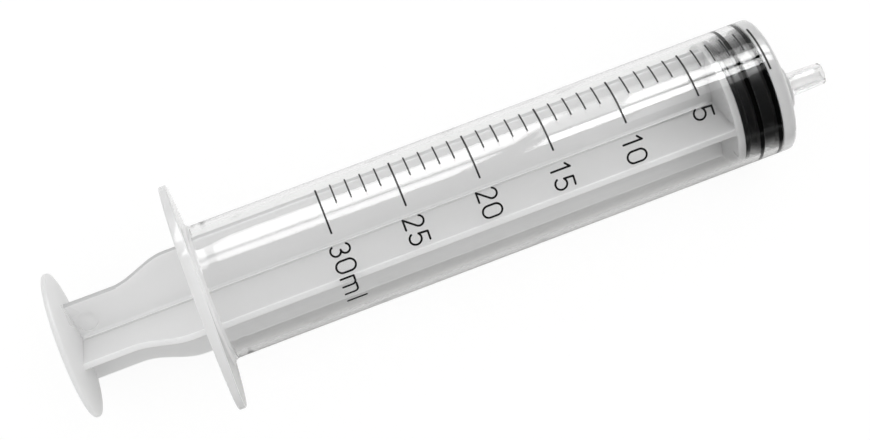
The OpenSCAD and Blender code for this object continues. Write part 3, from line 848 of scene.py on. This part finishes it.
def buildStudio():
    world = bpy.data.worlds.new("paleRoom")
    world.use_nodes = True
    tree = world.node_tree
    tree.nodes.clear()
    room = addNode(tree, "ShaderNodeBackground", Color=(1, 1, 1, 1), Strength=studio["roomLight"])
    # the room is white to the eye, also through the clear plastic; in reflections it is dark above the
    # syringe, so that only the softboxes and the floor mirror there, and pale at its two ends and low on
    # the far side
    place = addNode(tree, "ShaderNodeTexCoord")
    parts = addNode(tree, "ShaderNodeSeparateXYZ", input0=place.outputs["Generated"])
    endward = addNode(tree, "ShaderNodeMath", {"operation": "ABSOLUTE"}, input0=parts.outputs["X"])
    ends = addNode(tree, "ShaderNodeMapRange", Value=endward.outputs[0], FromMin=studio["endFrom"][0],
                   FromMax=studio["endFrom"][1], ToMin=studio["ceiling"], ToMax=studio["endRoom"])
    rise = addNode(tree, "ShaderNodeMath", {"operation": "MULTIPLY_ADD"}, input0=parts.outputs["Y"],
                   input1=-studio["lowSlope"], input2=parts.outputs["Z"])
    low = addNode(tree, "ShaderNodeMapRange", Value=rise.outputs[0], FromMin=studio["lowFrom"][0],
                  FromMax=studio["lowFrom"][1], ToMax=studio["lowRoom"])
    dark = addNode(tree, "ShaderNodeMath", {"operation": "MAXIMUM"}, input0=ends.outputs[0],
                   input1=low.outputs[0])
    mirrored = addNode(tree, "ShaderNodeMix", Factor=seenMirrored(tree), A=1.0, B=dark.outputs[0])
    white = addNode(tree, "ShaderNodeBackground", Color=(1, 1, 1, 1), Strength=mirrored.outputs[0])
    mix = addNode(tree, "ShaderNodeMixShader", input0=seenDirectly(tree), input1=room.outputs[0],
                  input2=white.outputs[0])
    addNode(tree, "ShaderNodeOutputWorld", Surface=mix.outputs[0])
    scene.world = world

    bpy.ops.object.select_all(action="DESELECT")
    bpy.ops.mesh.primitive_plane_add(size=studio["floorSize"] * mm, location=(0, 0, studio["floorAt"] * mm))
    floor = bpy.context.object
    floor.name = "studioFloor"
    material = bpy.data.materials.new("paleFloor")
    material.use_nodes = True
    tree = material.node_tree
    tree.nodes.clear()
    matt = addNode(tree, "ShaderNodeBsdfDiffuse", Color=linearColor(studio["floorColor"]))
    glow = addNode(tree, "ShaderNodeEmission", Color=(1, 1, 1, 1), Strength=studio["floorBright"])
    path = addNode(tree, "ShaderNodeLightPath")
    place = addNode(tree, "ShaderNodeTexCoord")
    parts = addNode(tree, "ShaderNodeSeparateXYZ", input0=place.outputs["Object"])
    # behind the plastic the floor's glow fades out on the near side: a painted shadow of the syringe
    shade = addNode(tree, "ShaderNodeMapRange", Value=parts.outputs["Y"], FromMin=studio["shadeFrom"][1] * mm,
                    FromMax=studio["shadeFrom"][0] * mm, ToMax=studio["floorGlowThrough"])
    # behind the nozzle the painted shadow gives way to a painted pool of light, brighter than behind the rest
    # of the plastic
    underNozzle = addNode(tree, "ShaderNodeMapRange", Value=parts.outputs["X"],
                          FromMin=studio["nozzleFrom"][0] * mm, FromMax=studio["nozzleFrom"][1] * mm,
                          ToMax=studio["nozzleGlow"])
    shade = addNode(tree, "ShaderNodeMath", {"operation": "MAXIMUM"}, input0=shade.outputs[0],
                    input1=underNozzle.outputs[0])
    share = addNode(tree, "ShaderNodeMix", Factor=path.outputs["Is Camera Ray"], A=shade.outputs[0],
                    B=studio["floorGlow"])
    share = addNode(tree, "ShaderNodeMath", {"operation": "MULTIPLY"},
                    input0=seenDirectly(tree), input1=share.outputs[0])
    mix = addNode(tree, "ShaderNodeMixShader", input0=share.outputs[0], input1=matt.outputs[0],
                  input2=glow.outputs[0])
    # a dark flag lies on the near side, and only the mirror of the plastic shows it
    flag = addNode(tree, "ShaderNodeMapRange", Value=parts.outputs["Y"], FromMin=studio["darkFrom"][0] * mm,
                   FromMax=studio["darkFrom"][1] * mm, ToMax=studio["dark"])
    far = addNode(tree, "ShaderNodeMapRange", Value=parts.outputs["Y"], FromMin=studio["darkFades"][0] * mm,
                  FromMax=studio["darkFades"][1] * mm, ToMin=1.0, ToMax=studio["darkFar"])
    flag = addNode(tree, "ShaderNodeMath", {"operation": "MULTIPLY"}, input0=flag.outputs[0],
                   input1=far.outputs[0])
    flag = addNode(tree, "ShaderNodeMath", {"operation": "MULTIPLY"}, input0=flag.outputs[0],
                   input1=seenMirrored(tree))
    black = addNode(tree, "ShaderNodeEmission", Color=(1, 1, 1, 1), Strength=studio["ceiling"])
    mix = addNode(tree, "ShaderNodeMixShader", input0=flag.outputs[0], input1=mix.outputs[0],
                  input2=black.outputs[0])
    addNode(tree, "ShaderNodeOutputMaterial", Surface=mix.outputs[0])
    floor.data.materials.append(material)

    turn = radians(studio["lampTurn"])
    plane = Matrix.Rotation(-turn, 4, "X")
    for name, along, across, width, height, spin, brightness in studio["softboxes"]:
        bpy.ops.object.light_add(type="AREA")
        lamp = bpy.context.object
        lamp.name = name
        lamp.matrix_world = (plane @ Matrix.Translation(Vector((along, across, studio["lampAway"])) * mm)
                             @ Matrix.Rotation(radians(spin), 4, "Z"))
        lamp.data.shape = "RECTANGLE"
        lamp.data.size, lamp.data.size_y = width * mm, height * mm
        lamp.data.energy = brightness * pi * width * height * mm * mm
        lamp.visible_camera = False
        lamp.visible_diffuse = False     # a softbox only makes highlights; the key lamp lights matt surfaces
    x, y, z, size, brightness = studio["keyLamp"]
    bpy.ops.object.light_add(type="AREA", location=(x * mm, y * mm, z * mm))
    lamp = bpy.context.object
    lamp.name = "keyLamp"
    lamp.data.size = size * mm
    lamp.data.energy = brightness * pi * size * size * mm * mm
    lamp.visible_camera = False
    lamp.visible_glossy = False
    lamp.visible_transmission = False    # so it isn't mirrored behind the clear wall either

    bpy.ops.object.camera_add()
    camera = bpy.context.object
    right, up = Vector(studio["cameraRight"]), Vector(studio["cameraUp"])
    back = right.cross(up)
    camera.matrix_world = Matrix.Translation(Vector(studio["cameraAt"]) * mm) @ Matrix(
        (right, up, back)).transposed().to_4x4()
    camera.data.sensor_width = studio["sensor"]
    camera.data.lens = studio["lens"]
    camera.data.clip_start, camera.data.clip_end = studio["clip"]
    scene.camera = camera
    scene.view_settings.view_transform = "Standard"


buildStudio()
print("studio set")
